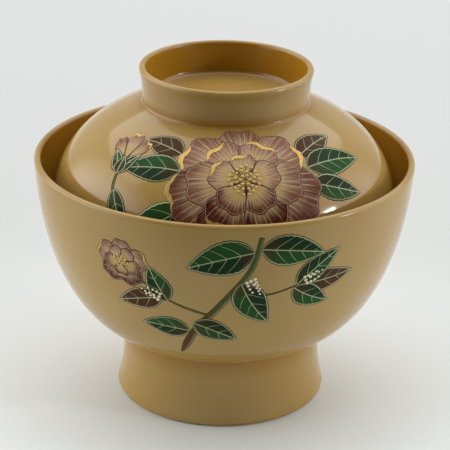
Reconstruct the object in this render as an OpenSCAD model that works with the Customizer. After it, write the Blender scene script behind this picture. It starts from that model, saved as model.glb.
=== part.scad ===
/* [Bowl] */
// Outer diameter at the rim
rim_diameter = 126; // [118:1:134]
// Height from the foot to the rim
bowl_height = 84; // [79:1:90]
// Thickness of the rounded lip
lip_thickness = 2.3; // [2:0.1:3]
// Thickness of the wall below its taper
wall_thickness = 4.4; // [3.8:0.1:5.2]
// Rounding between the bowl's inner wall and its flat floor
floor_blend_radius = 32; // [20:1:40]

/* [Foot] */
// Diameter on the table
foot_diameter = 71; // [66:0.5:76]
// How far the foot flares out from its neck
foot_flare = 2; // [0.5:0.25:4]
// Height of the foot up to the belly
foot_height = 23; // [20:0.5:26]
// Fillet where the foot meets the belly
foot_root_fillet = 0.8; // [0.4:0.1:1.4]
// Height at which the foot starts to flare
foot_flare_height = 16; // [12:0.5:18]
// Rounding of the foot's outer bottom edge
foot_edge_radius = 1.2; // [0.8:0.1:1.6]
// Thickness of the foot's wall at its neck
foot_wall_thickness = 3; // [2.5:0.25:5]
// Depth of the hollow under the foot
hollow_depth = 17.5; // [14:0.5:18]
// Rounding of the hollow's inner bottom edge
hollow_edge_radius = 0.9; // [0.7:0.1:1.2]
// Fillet where the hollow's wall meets its ceiling
hollow_fillet = 4; // [2:0.5:6]

/* [Lid] */
// Height from the lid's edge to the top of its ring
lid_height = 48.4; // [46:0.2:52]
// Depth of the lid's edge below the rim
lid_seat_depth = 18; // [15:0.5:21]
// Thickness of the lid's shell
lid_wall_thickness = 2.8; // [2.4:0.1:3.4]
// Thickness of the crown inside the ring
crown_thickness = 3.1; // [2.8:0.1:3.6]
// Rounding where the crown meets the dome on the inside
crown_blend_radius = 12; // [8:1:16]
// Gap between the lid's edge and the bowl
lid_clearance = 0.3; // [0.2:0.05:0.5]

/* [Lid ring] */
// Outer diameter at the ring's lip
ring_diameter = 57; // [55.5:0.5:60]
// How far the ring flares out from its root
ring_flare = 1.1; // [0.5:0.1:2]
// Height of the ring above the dome
ring_height = 12; // [11:0.5:14]
// Thickness of the ring's rounded lip
ring_lip_thickness = 2.2; // [1.8:0.1:2.8]
// Thickness of the ring's wall at its root
ring_wall_thickness = 2.4; // [1.8:0.1:3.2]
// Depth of the recess inside the ring
recess_depth = 11; // [9:0.5:11.5]
// Fillet between the ring and the dome
ring_root_fillet = 1.3; // [0.8:0.1:2]
// Fillet between the recess's wall and its floor
recess_fillet = 2; // [1:0.5:4]

/* [Finish] */
// Thickness of the lacquer over the wood
lacquer_thickness = 0.45; // [0.3:0.05:0.6]

/* [Hidden] */
$fn = 180;

wood_colour = "#b98f5c";
ochre_colour = "#ad9560";
amber_colour = "#8a6a30";

// Longest chord and largest turn between two points of a round
chord_step = 3;
turn_step = 15;
// Points along the curve of a wall, and halvings that find a place on it
wall_steps = 24;
halvings = 30;
// Points closer than this are one point
merge_distance = 0.005;

// Handles of a wall's curve, as shares of its run inwards and of its rise
belly_handle_shares = [[0.05, 0.38], [0.265, 0.86]];
dome_handle_shares = [[0.023, 0.265], [0.06, 0.7]];
// How far along a wall its taper ends, and how far its curve may be followed past its end
taper_share = 0.34;
extended_share = 1.2;

rim_radius = rim_diameter / 2;
foot_radius = foot_diameter / 2;
foot_neck_diameter = foot_diameter - 2 * foot_flare;
foot_neck_radius = foot_neck_diameter / 2;
hollow_diameter = foot_neck_diameter - 2 * foot_wall_thickness;
hollow_radius = hollow_diameter / 2;
ring_radius = ring_diameter / 2;
ring_neck_diameter = ring_diameter - 2 * ring_flare;
ring_neck_radius = ring_neck_diameter / 2;
lip_radius = lip_thickness / 2;
ring_lip_radius = ring_lip_thickness / 2;
lid_edge_radius = lid_wall_thickness / 2;

// A turned section is a path of stations, each a point and the direction from it into the wood.
// The wood fills a round that is a BULGE and surrounds one that is a HOLLOW.
BULGE = 1;
HOLLOW = -1;
// A wall is [four points of its outer curve, thickness at its edge, full thickness]
OUTER = 0;
INNER = 1;
// Ways to measure how far a curve has come: towards the axis or along it
INWARDS = [-1, 0];
ALONG = [0, 1];

function direction(angle) = [cos(angle), sin(angle)];

// The stations of an arc
function round_stations(centre, radius, first_angle, last_angle, side) =
    let (
        turn = last_angle - first_angle,
        length = 2 * PI * radius * abs(turn) / 360,
        steps = ceil(max(abs(turn) / turn_step, length / chord_step))
    )
    [for (i = [0:steps])
        let (way = direction(first_angle + turn * i / steps))
        [centre + radius * way, -side * way]];

// A wall that starts at its round edge and curves in to its neck. Its curve leaves the edge
// along its first handle.
function turned_wall(outer_radius, neck_radius, rise, handle_shares, edge_thickness, thickness) =
    let (
        edge_radius = edge_thickness / 2,
        centre = [outer_radius - edge_radius, 0],
        run = outer_radius - neck_radius,
        handles = [for (share = handle_shares) [outer_radius - share.x * run, share.y * rise]],
        reach = handles[0] - centre,
        lean = atan2(reach.y, reach.x) - acos(edge_radius / norm(reach))
    )
    [[centre + edge_radius * direction(lean), handles[0], handles[1], [neck_radius, rise]],
     edge_thickness, thickness];

// A point on a wall's outer curve, and the direction from there into the wood
function curve_point(wall, share) =
    let (p = wall[0], rest = 1 - share)
    pow(rest, 3) * p[0] + 3 * share * pow(rest, 2) * p[1]
        + 3 * pow(share, 2) * rest * p[2] + pow(share, 3) * p[3];
function into_wall(wall, share) =
    let (
        p = wall[0],
        rest = 1 - share,
        way = pow(rest, 2) * (p[1] - p[0]) + 2 * share * rest * (p[2] - p[1])
            + pow(share, 2) * (p[3] - p[2])
    )
    [-way.y, way.x] / norm(way);

// The angle at which a wall's outer curve faces
function lean_at(wall, share) =
    let (inwards = into_wall(wall, share))
    atan2(-inwards.y, -inwards.x);

// A wall tapers from its full thickness to its edge
function thickness_at(wall, share) =
    let (rest = max(0, 1 - share / taper_share))
    wall[2] - (wall[2] - wall[1]) * pow(rest, 2) * (3 - 2 * rest);

// A point at a depth below one face of a wall
function face_point(wall, face, share, depth) =
    curve_point(wall, share) + (face * thickness_at(wall, share) + depth) * into_wall(wall, share);

// The stations along one face of a wall, from its edge to a share of its curve
function face_stations(wall, face, last_share) =
    [for (i = [0:wall_steps])
        let (share = last_share * i / wall_steps)
        [face_point(wall, face, share, 0), (face == OUTER ? 1 : -1) * into_wall(wall, share)]];

// The share of a wall's curve where a line along it, at a depth below a face, has come a distance
function share_at(wall, face, depth, way, distance, low = 0, high = extended_share, left = halvings) =
    let (middle = (low + high) / 2)
    left == 0 ? middle
        : face_point(wall, face, middle, depth) * way < distance
            ? share_at(wall, face, depth, way, distance, middle, high, left - 1)
            : share_at(wall, face, depth, way, distance, low, middle, left - 1);

// The round edge of a wall, from its crest to one of its faces
function edge_stations(wall, face) =
    round_stations(face_point(wall, OUTER, 0, wall[1] / 2), wall[1] / 2,
                   -90, lean_at(wall, 0) - 180 * face, BULGE);

// The outer face of a wall, up to a fillet into the upright side of its neck
function walled_neck(wall, neck_radius, fillet) =
    let (
        share = share_at(wall, OUTER, -fillet, INWARDS, -neck_radius - fillet),
        centre = face_point(wall, OUTER, share, -fillet)
    )
    concat(edge_stations(wall, OUTER), face_stations(wall, OUTER, share),
           round_stations(centre, fillet, lean_at(wall, share) + 180, 180, HOLLOW));

// The inner face of a wall up to a share of its curve, then a blend into a flat
function walled_pan(wall, share, blend_radius) =
    concat(edge_stations(wall, INNER), face_stations(wall, INNER, share),
           round_stations(face_point(wall, INNER, share, blend_radius), blend_radius,
                          lean_at(wall, share), 90, HOLLOW));

// A side that flares from its neck to a round edge, which turns to a last angle
function flared_side(neck_radius, neck_height, edge_centre, edge_radius, last_angle) =
    let (
        run = edge_centre.x - neck_radius,
        rise = edge_centre.y - neck_height,
        radius = (pow(run, 2) + pow(rise, 2) - pow(edge_radius, 2)) / (2 * (run + edge_radius)),
        turn = atan(rise / (radius - run))
    )
    concat(round_stations([neck_radius + radius, neck_height], radius, 180, 180 - turn, HOLLOW),
           round_stations(edge_centre, edge_radius, -turn, last_angle, BULGE));

// The fillet between the wall and the floor of a round pocket, and the lean of a wall that
// runs straight from there to the round edge of the pocket
function pocket_fillet(centre, fillet, lean) =
    round_stations(centre, fillet, -lean, -90, HOLLOW);
function pocket_lean(centre, fillet, edge_centre, edge_radius) =
    let (reach = edge_centre - centre)
    180 - atan2(reach.y, reach.x) - acos(-(fillet + edge_radius) / norm(reach));

// A path that goes on straight to the axis
function to_axis(path) =
    let (last = path[len(path) - 1])
    concat(path, [[[0, last[0].y], last[1]]]);

// The points of a path, moved into the wood by an inset, with those that meet named once
function outline(path, inset) =
    [for (i = [0:len(path) - 1])
        if (i == 0 || norm(path[i][0] - path[i - 1][0]) > merge_distance)
            path[i][0] + inset * path[i][1]];

function reversed(points) = [for (i = [len(points) - 1:-1:0]) points[i]];

// The outline of a coat of lacquer on a path
function coat(path) =
    concat(outline(path, 0), reversed(outline(path, lacquer_thickness)));

// Heights in the bowl count down from the centre of its round lip
bowl_drop = bowl_height - lip_radius;
belly = turned_wall(rim_radius, foot_neck_radius, bowl_drop - foot_height,
                    belly_handle_shares, lip_thickness, wall_thickness);
foot_edge_centre = [foot_radius - foot_edge_radius, bowl_drop - foot_edge_radius];
bowl_outside = concat(walled_neck(belly, foot_neck_radius, foot_root_fillet),
                      flared_side(foot_neck_radius, bowl_drop - foot_flare_height,
                                  foot_edge_centre, foot_edge_radius, 90));
bowl_inside = to_axis(walled_pan(belly, 1, floor_blend_radius));

// The hollow under the foot, from its rounded mouth to its ceiling
hollow_edge_centre = [hollow_radius + hollow_edge_radius, bowl_drop - hollow_edge_radius];
hollow_fillet_centre = [hollow_radius - hollow_fillet, bowl_drop - hollow_depth + hollow_fillet];
foot_hollow = to_axis(concat(
    round_stations(hollow_edge_centre, hollow_edge_radius, 90, 180, BULGE),
    pocket_fillet(hollow_fillet_centre, hollow_fillet, 0)));

// The lid's round edge sits a clearance away from the bowl's inner wall
lid_edge_height = bowl_height - lid_seat_depth + lid_edge_radius;
lid_edge_depth = lid_edge_radius + lid_clearance;
seat_share = share_at(belly, INNER, lid_edge_depth, ALONG, bowl_drop - lid_edge_height);
lid_radius = face_point(belly, INNER, seat_share, lid_edge_depth).x + lid_edge_radius;

// Heights in the lid count up from the centre of its round edge
lid_rise = lid_height - lid_edge_radius;
dome_rise = lid_rise - ring_height;
dome = turned_wall(lid_radius, ring_neck_radius, dome_rise,
                   dome_handle_shares, lid_wall_thickness, lid_wall_thickness);
ring_lip_centre = [ring_radius - ring_lip_radius, lid_rise - ring_lip_radius];
recess_floor = lid_rise - recess_depth;
recess_radius = ring_neck_radius - ring_wall_thickness;
recess_fillet_centre = [recess_radius - recess_fillet, recess_floor + recess_fillet];
recess_lean = pocket_lean(recess_fillet_centre, recess_fillet, ring_lip_centre, ring_lip_radius);
lid_outside = to_axis(concat(
    walled_neck(dome, ring_neck_radius, ring_root_fillet),
    flared_side(ring_neck_radius, dome_rise + ring_root_fillet,
                ring_lip_centre, ring_lip_radius, 180 - recess_lean),
    pocket_fillet(recess_fillet_centre, recess_fillet, recess_lean)));

// The inside of the lid follows the dome, and a blend turns it into the flat crown
crown_share = share_at(dome, INNER, crown_blend_radius, ALONG,
                       recess_floor - crown_thickness - crown_blend_radius);
lid_inside = to_axis(walled_pan(dome, crown_share, crown_blend_radius));

// A turned solid of the lid, whose heights count up from the centre of its edge
module lid_turned(points) {
    translate([0, 0, lid_edge_height])
        rotate_extrude()
            polygon(points);
}

// A turned solid of the bowl, whose heights count down from the centre of its lip
module bowl_turned(points) {
    rotate_extrude()
        translate([0, bowl_drop])
            mirror([0, 1])
                polygon(points);
}

// The wood of the bowl, turned in one with its foot
module bowl_core() {
    outside = outline(bowl_outside, lacquer_thickness);
    hollow = outline(foot_hollow, lacquer_thickness);
    inside = outline(bowl_inside, lacquer_thickness);
    foot_land = [[foot_edge_centre.x, bowl_drop], [hollow_edge_centre.x, bowl_drop]];
    color(wood_colour)
        bowl_turned(concat(outside, foot_land, hollow, reversed(inside)));
}

// The lacquer on the outside of the bowl and its foot, up to the crest of the lip
module bowl_outer_lacquer() {
    color(ochre_colour)
        bowl_turned(coat(bowl_outside));
}

// The lacquer on the inside of the bowl, up to the crest of the lip
module bowl_inner_lacquer() {
    color(amber_colour)
        bowl_turned(coat(bowl_inside));
}

// The lacquer in the hollow under the foot
module hollow_lacquer() {
    color(ochre_colour)
        bowl_turned(coat(foot_hollow));
}

// The wood of the lid, turned in one with its ring
module lid_core() {
    outside = outline(lid_outside, lacquer_thickness);
    inside = outline(lid_inside, lacquer_thickness);
    color(wood_colour)
        lid_turned(concat(outside, reversed(inside)));
}

// The lacquer on the lid's dome, its ring and the recess inside the ring
module lid_outer_lacquer() {
    color(ochre_colour)
        lid_turned(coat(lid_outside));
}

// The lacquer on the inside of the lid
module lid_inner_lacquer() {
    color(amber_colour)
        lid_turned(coat(lid_inside));
}

bowl_core();
bowl_outer_lacquer();
bowl_inner_lacquer();
hollow_lacquer();
lid_core();
lid_outer_lacquer();
lid_inner_lacquer();
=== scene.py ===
"""The lacquer soup bowl with its lid: smooth coats of lacquer, a painted camellia, and a pale studio."""

from functools import partial
from math import acos, atan2, ceil, cos, degrees, pi, radians, sin, sqrt

import bmesh
import bpy
from bpy.props import FloatProperty, FloatVectorProperty, IntProperty, PointerProperty
from mathutils import Matrix, Vector
from mathutils.bvhtree import BVHTree


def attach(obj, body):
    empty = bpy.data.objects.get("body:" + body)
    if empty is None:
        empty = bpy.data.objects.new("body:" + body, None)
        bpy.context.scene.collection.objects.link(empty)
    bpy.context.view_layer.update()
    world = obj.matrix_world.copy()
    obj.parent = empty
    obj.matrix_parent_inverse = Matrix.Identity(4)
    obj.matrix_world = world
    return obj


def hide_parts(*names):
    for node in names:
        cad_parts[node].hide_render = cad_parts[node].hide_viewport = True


bl_info = {
    "name": "Lacquer soup bowl",
    "version": (1, 0, 0),
    "blender": (4, 5, 0),
    "location": "View3D > Sidebar > Soup bowl",
    "description": "A turned and lacquered soup bowl with its lid and a painted camellia spray",
    "category": "Add Mesh",
}

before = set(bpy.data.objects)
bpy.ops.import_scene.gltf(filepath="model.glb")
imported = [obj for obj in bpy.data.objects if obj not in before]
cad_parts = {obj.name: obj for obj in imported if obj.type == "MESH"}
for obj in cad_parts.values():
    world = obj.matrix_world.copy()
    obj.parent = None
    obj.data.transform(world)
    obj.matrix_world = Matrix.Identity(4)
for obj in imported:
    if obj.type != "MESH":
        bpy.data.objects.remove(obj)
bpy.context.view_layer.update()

MM = 0.001
FRONT = -90  # the azimuth that faces the camera, in degrees


def linear(hex_colour):
    """The linear red, green and blue of an sRGB colour written in hex, and a full alpha."""
    channels = [int(hex_colour[i : i + 2], 16) / 255 for i in (1, 3, 5)]
    return [*(c / 12.92 if c <= 0.04045 else ((c + 0.055) / 1.055) ** 2.4 for c in channels), 1]


def number(name, description, value, **unit):
    """A number that a user would change."""
    return FloatProperty(name=name, description=description, default=value, min=0, **unit)


def length(name, description, millimetres):
    """A size that a user would change, written in millimetres."""
    return number(name, description, millimetres * MM, unit="LENGTH")


def colour(name, description, hex_colour):
    """A colour that a user would change."""
    return FloatVectorProperty(name=name, description=description, default=linear(hex_colour),
                               size=4, subtype="COLOR", min=0, max=1)


# Sizes and colours


class BowlSizes(bpy.types.PropertyGroup):
    """Sizes of the bowl, as in the frame"""

    rim_diameter: length("Rim", "Outer diameter at the rim", 126)
    height: length("Height", "Height from the foot to the rim", 84)
    lip_thickness: length("Lip", "Thickness of the rounded lip", 2.3)
    wall_thickness: length("Wall", "Thickness of the wall below its taper", 4.4)
    floor_blend: length("Floor blend", "Rounding between the inner wall and the flat floor", 32)
    foot_diameter: length("Foot", "Diameter on the table", 71)
    foot_flare: length("Foot flare", "How far the foot flares out from its neck", 2)
    foot_height: length("Foot height", "Height of the foot up to the belly", 23)
    foot_root_fillet: length("Foot fillet", "Fillet where the foot meets the belly", 0.8)
    foot_flare_height: length("Flare height", "Height at which the foot starts to flare", 16)
    foot_edge: length("Foot edge", "Rounding of the foot's outer bottom edge", 1.2)
    foot_wall: length("Foot wall", "Thickness of the foot's wall at its neck", 3)
    hollow_depth: length("Hollow depth", "Depth of the hollow under the foot", 17.5)
    hollow_edge: length("Hollow edge", "Rounding of the hollow's inner bottom edge", 0.9)
    hollow_fillet: length("Hollow fillet", "Fillet of the hollow's ceiling", 4)


class LidSizes(bpy.types.PropertyGroup):
    """Sizes of the lid, as in the frame"""

    height: length("Height", "Height from the lid's edge to the top of its ring", 48.4)
    seat_depth: length("Seat depth", "Depth of the lid's edge below the rim", 18)
    wall_thickness: length("Wall", "Thickness of the lid's shell", 2.8)
    crown_thickness: length("Crown", "Thickness of the crown inside the ring", 3.1)
    crown_blend: length("Crown blend", "Rounding where the crown meets the dome on the inside", 12)
    clearance: length("Clearance", "Gap between the lid's edge and the bowl", 0.3)
    ring_diameter: length("Ring", "Outer diameter at the ring's lip", 57)
    ring_flare: length("Ring flare", "How far the ring flares out from its root", 1.1)
    ring_height: length("Ring height", "Height of the ring above the dome", 12)
    ring_lip: length("Ring lip", "Thickness of the ring's rounded lip", 2.2)
    ring_wall: length("Ring wall", "Thickness of the ring's wall at its root", 2.4)
    recess_depth: length("Recess", "Depth of the recess inside the ring", 11)
    ring_root_fillet: length("Ring fillet", "Fillet between the ring and the dome", 1.3)
    recess_fillet: length("Recess fillet", "Fillet between the recess's wall and its floor", 2)


class LacquerFinish(bpy.types.PropertyGroup):
    """The coats of lacquer"""

    thickness: length("Coat", "Thickness of the lacquer over the wood", 0.45)
    turns: IntProperty(name="Turns", description="Faces round each turned coat", default=192, min=24)
    ochre: colour("Ochre", "Lacquer in even light", "#AA8B4C")
    deep: colour("Deep ochre", "Lacquer where the coat is a little thicker", "#A78647")
    # Painted shade: the darker amber that the lacquer is given in the hollows and at the roots
    amber_shade: colour("Amber", "Lacquer that has pooled in hollows and at roots", "#9B6D16")
    wood: colour("Wood", "Early wood of the turned blank", "#B98F5C")
    wood_ring: colour("Growth rings", "Late wood of the turned blank", "#8A6238")


class PaintFinish(bpy.types.PropertyGroup):
    """The painted camellia spray"""

    petal_rose: colour("Petal rose", "Tips of the petals", "#895646")
    petal_mauve: colour("Petal mauve", "Lighter streaks at the tips", "#AC8971")
    petal_blush: colour("Petal blush", "Bases of the petals", "#A5875F")
    petal_gold: colour("Petal gold", "Gold powder at the base of the petals", "#B89656")
    petal_wine: colour("Petal wine", "Tips of the lower petals", "#45100C")
    petal_pale: colour("Petal pale", "Fine lines and pale streaks of the petals", "#CFB894")
    leaf_green: colour("Leaf green", "Middle of the leaves", "#1B4A1C")
    leaf_dark: colour("Leaf dark", "Shaded part of the leaves", "#0A2C10")
    leaf_brown: colour("Leaf brown", "Older leaves, and clouds at the bases", "#4A2810")
    vein: colour("Vein", "Veins and margins of the leaves", "#B3B78C")
    stem_green: colour("Stem green", "Young part of the stem", "#4B5523")
    stem_brown: colour("Stem brown", "Old part of the stem", "#563412")
    outline: colour("Outline", "Thin dark line round each shape", "#24140D")
    gold: colour("Gold", "Gold powder of the stamens", "#D9B66B")
    ivory: colour("Ivory", "Dots of thick ivory paint", "#F8EFD2")


class StudioSettings(bpy.types.PropertyGroup):
    """The floor, the lights and the camera"""

    # Painted shadow: the camera's shade on the table top in front, painted grey
    floor_front_shade: colour("Front of the floor", "Table top in the camera's shade", "#8C8C88")
    floor: colour("Floor", "Pale table top, around the bowl", "#F7FCFB")
    # Painted shade: the far table top painted darker, where it is lit more
    floor_far_shade: colour("Far floor", "Pale table top, where it is lit more", "#C9CBCA")
    overhead_power: number("Overhead", "Large soft light", 74, unit="POWER")
    lamp_power: number("Lamp", "Small lamp on the right", 1.4, unit="POWER")
    room: number("Room", "Brightness of the pale room", 0.55)
    left_wall: number("Left wall", "Brightness of the left wall", 3)
    right_wall: number("Right wall", "Brightness of the right wall", 1.7)
    camera_distance: length("Camera distance", "From the turning axis to the camera", 544.4)
    camera_height: length("Camera height", "Above the table", 288.4)
    focal_length: number("Focal length", "In millimetres", 140.06)


GROUPS = {
    "bowl_sizes": BowlSizes,
    "lid_sizes": LidSizes,
    "lacquer_finish": LacquerFinish,
    "paint_finish": PaintFinish,
    "studio_settings": StudioSettings,
}


# Turned sections. A path is a list of stations, each a point (radius, height) and the direction
# from it into the wood. Heights in the bowl count down from its lip's centre.

BULGE, HOLLOW = 1, -1
OUTER, INNER = 0, 1
TAPER_SHARE = 0.34  # where a wall has its full thickness, along its curve
LONGEST_SHARE, SHARE_HALVINGS = 1.2, 30  # how far and how finely a share is searched for
# The two handles of each wall's curve, as shares of its run and its rise
BELLY_HANDLE_SHARES = ((0.05, 0.38), (0.265, 0.86))
DOME_HANDLE_SHARES = ((0.023, 0.265), (0.06, 0.7))
WALL_STEPS = 64  # stations along one face of a wall
ARC_TURN = 5  # degrees between two stations of a round
ARC_CHORD = 1.2 * MM  # the longest step between them
MERGE = 0.002 * MM  # points closer than this are one
HOLLOW_SHADE_EDGE = 1.2 * MM  # over which the painted shade deepens inside a mouth
FOOT_ROOT_SHADE, RING_ROOT_SHADE = 1.4 * MM, 2.8 * MM  # over which the painted shade deepens towards each root
ROOT_SHADE_SHIFT = 0.8 * MM  # from a root into the foot or the ring, where the painted shade round it is centred


def direction(angle):
    """The unit vector at an angle in degrees."""
    return Vector((cos(radians(angle)), sin(radians(angle))))


def round_stations(centre, radius, first, last, side):
    """The stations of an arc between two angles. The wood fills a BULGE and surrounds a HOLLOW."""
    turn = last - first
    steps = ceil(max(abs(turn) / ARC_TURN, radians(abs(turn)) * radius / ARC_CHORD))
    ways = [direction(first + turn * i / steps) for i in range(steps + 1)]
    return [(centre + radius * way, -side * way) for way in ways]


class Wall:
    """A turned wall from its round edge to its neck, with the cubic curve of its outer face."""

    def __init__(self, outer_radius, neck_radius, rise, handle_shares, edge, full):
        edge_radius = edge / 2
        centre = Vector((outer_radius - edge_radius, 0))
        run = outer_radius - neck_radius
        first, second = [Vector((outer_radius - x * run, y * rise)) for x, y in handle_shares]
        reach = first - centre
        self.lean = degrees(atan2(reach.y, reach.x) - acos(edge_radius / reach.length))
        start = centre + edge_radius * direction(self.lean)
        self.points = start, first, second, Vector((neck_radius, rise))
        self.edge_centre, self.edge, self.full = centre, edge, full

    def inwards(self, share):
        """The direction from the outer face into the wood."""
        a, b, c, d = self.points
        rest = 1 - share
        way = rest**2 * (b - a) + 2 * share * rest * (c - b) + share**2 * (d - c)
        return Vector((-way.y, way.x)).normalized()

    def thickness(self, share):
        """The wall's thickness, which tapers to its edge."""
        rest = max(0, 1 - share / TAPER_SHARE)
        return self.full - (self.full - self.edge) * rest**2 * (3 - 2 * rest)

    def point(self, face, share, depth=0):
        """A point at a depth below one face."""
        a, b, c, d = self.points
        rest = 1 - share
        outer = rest**3 * a + 3 * share * rest**2 * b + 3 * share**2 * rest * c + share**3 * d
        return outer + (face * self.thickness(share) + depth) * self.inwards(share)

    def face_angle(self, share):
        """The angle at which the outer face looks out."""
        out = -self.inwards(share)
        return degrees(atan2(out.y, out.x))

    def share_at(self, face, depth, way, distance):
        """How far along its curve a line at a depth below a face has come a distance."""
        low, high = 0, LONGEST_SHARE
        for _ in range(SHARE_HALVINGS):
            middle = (low + high) / 2
            if self.point(face, middle, depth).dot(way) < distance:
                low = middle
            else:
                high = middle
        return low

    def edge_stations(self, face):
        """The round edge, from its top to one face."""
        return round_stations(self.edge_centre, self.edge / 2, -90, self.lean - 180 * face, BULGE)

    def face_stations(self, face, last_share):
        """One face, from the edge up to a share of its curve."""
        shares = [last_share * i / WALL_STEPS for i in range(WALL_STEPS + 1)]
        side = 1 if face == OUTER else -1
        return [(self.point(face, share), side * self.inwards(share)) for share in shares]

    def neck_stations(self, neck_radius, fillet):
        """The outer face, up to a fillet into the upright side of the neck."""
        share = self.share_at(OUTER, -fillet, Vector((-1, 0)), -neck_radius - fillet)
        centre = self.point(OUTER, share, -fillet)
        turn = round_stations(centre, fillet, self.face_angle(share) + 180, 180, HOLLOW)
        return self.edge_stations(OUTER) + self.face_stations(OUTER, share) + turn

    def pan_stations(self, share, blend):
        """The inner face up to a share of its curve, then a blend into a flat."""
        turn = round_stations(self.point(INNER, share, blend), blend, self.face_angle(share), 90, HOLLOW)
        return self.edge_stations(INNER) + self.face_stations(INNER, share) + turn


def flared_side(neck_radius, neck_height, edge_centre, edge_radius, last_angle):
    """A side that flares from its neck to a round edge."""
    run, rise = edge_centre.x - neck_radius, edge_centre.y - neck_height
    radius = (run**2 + rise**2 - edge_radius**2) / (2 * (run + edge_radius))
    turn = degrees(atan2(rise, radius - run))
    side = round_stations(Vector((neck_radius + radius, neck_height)), radius, 180, 180 - turn, HOLLOW)
    return side + round_stations(edge_centre, edge_radius, -turn, last_angle, BULGE)


def to_axis(path):
    """A path that goes on straight to the axis."""
    point, into = path[-1]
    return path + [(Vector((0, point.y)), into)]


def bowl_paths(bowl):
    """The outside, the inside and the foot's hollow of the bowl, with heights above the table."""
    lip_radius, neck = bowl.lip_thickness / 2, bowl.foot_diameter / 2 - bowl.foot_flare
    drop = bowl.height - lip_radius
    wall = Wall(bowl.rim_diameter / 2, neck, drop - bowl.foot_height, BELLY_HANDLE_SHARES,
                bowl.lip_thickness, bowl.wall_thickness)
    edge_centre = Vector((bowl.foot_diameter / 2 - bowl.foot_edge, drop - bowl.foot_edge))
    outside = wall.neck_stations(neck, bowl.foot_root_fillet)
    outside += flared_side(neck, drop - bowl.foot_flare_height, edge_centre, bowl.foot_edge, 90)
    inside = to_axis(wall.pan_stations(1, bowl.floor_blend))
    hollow_radius = neck - bowl.foot_wall
    mouth = Vector((hollow_radius + bowl.hollow_edge, drop - bowl.hollow_edge))
    ceiling = Vector((hollow_radius - bowl.hollow_fillet, drop - bowl.hollow_depth + bowl.hollow_fillet))
    hollow = round_stations(mouth, bowl.hollow_edge, 90, 180, BULGE)
    hollow = to_axis(hollow + round_stations(ceiling, bowl.hollow_fillet, 0, -90, HOLLOW))
    up = [[(Vector((p.x, drop - p.y)), Vector((n.x, -n.y))) for p, n in path]
          for path in (outside, inside, hollow)]
    return wall, up


def lid_paths(bowl, lid, bowl_wall):
    """The outside and the inside of the lid, with heights above the table."""
    edge_radius = lid.wall_thickness / 2
    edge_height = bowl.height - lid.seat_depth + edge_radius
    seat_drop = bowl.height - bowl.lip_thickness / 2 - edge_height
    depth = edge_radius + lid.clearance
    share = bowl_wall.share_at(INNER, depth, Vector((0, 1)), seat_drop)
    radius = bowl_wall.point(INNER, share, depth).x + edge_radius
    rise = lid.height - edge_radius
    neck = lid.ring_diameter / 2 - lid.ring_flare
    dome_rise = rise - lid.ring_height
    dome = Wall(radius, neck, dome_rise, DOME_HANDLE_SHARES, lid.wall_thickness, lid.wall_thickness)
    lip_radius = lid.ring_lip / 2
    lip_centre = Vector((lid.ring_diameter / 2 - lip_radius, rise - lip_radius))
    floor = rise - lid.recess_depth
    fillet_centre = Vector((neck - lid.ring_wall - lid.recess_fillet, floor + lid.recess_fillet))
    reach = lip_centre - fillet_centre
    lean = 180 - degrees(atan2(reach.y, reach.x) + acos(-(lid.recess_fillet + lip_radius) / reach.length))
    outside = dome.neck_stations(neck, lid.ring_root_fillet)
    outside += flared_side(neck, dome_rise + lid.ring_root_fillet, lip_centre, lip_radius, 180 - lean)
    outside = to_axis(outside + round_stations(fillet_centre, lid.recess_fillet, -lean, -90, HOLLOW))
    crown = floor - lid.crown_thickness - lid.crown_blend
    crown_share = dome.share_at(INNER, lid.crown_blend, Vector((0, 1)), crown)
    inside = to_axis(dome.pan_stations(crown_share, lid.crown_blend))
    return [[(Vector((p.x, p.y + edge_height)), n) for p, n in path] for path in (outside, inside)]


# Meshes

OUTER_SLOT, INNER_SLOT = "ochre_lacquer", "inner_lacquer"
SHARP_ANGLE = 50  # degrees between two faces that meet in a sharp edge


def finished(name, bm, material, body, node=None):
    """A finished piece from a bmesh, on its body, in place of its CAD node if it has one."""
    mesh = bpy.data.meshes.new(name)
    bm.to_mesh(mesh)
    bm.free()
    mesh.shade_smooth()
    mesh.set_sharp_from_angle(angle=radians(SHARP_ANGLE))
    mesh.materials.append(bpy.data.materials[material])
    piece = bpy.data.objects.new(name, mesh)
    bpy.context.scene.collection.objects.link(piece)
    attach(piece, body)
    if node:
        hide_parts(node)
    return piece


def turned_coat(path, thickness, turns, mouth, root):
    """A closed coat of lacquer, turned about Z from the section of its path. What lies inside the radius
    of its mouth is marked for painted shade, its walls more than its floor, and so is what lies near its
    root (radius, height, reach), if it has one."""
    kept = path[:1] + [here for last, here in zip(path, path[1:]) if (here[0] - last[0]).length > MERGE]
    outline = [p for p, _ in kept] + [p + thickness * n for p, n in reversed(kept)]
    bm = bmesh.new()
    points = [bm.verts.new((max(p.x, 0), 0, p.y)) for p in outline]
    sides = [(a, b) for a, b in zip(points, points[1:] + points[:1]) if max(a.co.x, b.co.x) > MERGE]
    edges = [bm.edges.new(pair) for pair in sides]
    bmesh.ops.spin(bm, geom=points + edges, cent=(0, 0, 0), axis=(0, 0, 1), angle=2 * pi,
                   steps=turns, use_merge=True)
    bmesh.ops.remove_doubles(bm, verts=bm.verts[:], dist=MERGE / 2)
    bmesh.ops.recalc_face_normals(bm, faces=bm.faces[:])
    # Painted shade: how much of the amber each point gets, most on a hollow's walls and near a root
    hollow_shade = bm.verts.layers.float.new("hollow_shade")
    for vert in bm.verts:
        inside = min(1, max(0, (mouth - vert.co.xy.length) / HOLLOW_SHADE_EDGE))
        vert[hollow_shade] = inside * vert.normal.xy.length
        if root:
            far = Vector((vert.co.xy.length - root[0], vert.co.z - root[1])).length
            vert[hollow_shade] = max(vert[hollow_shade], 1 - far / root[2])
    return bm


# Materials

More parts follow.
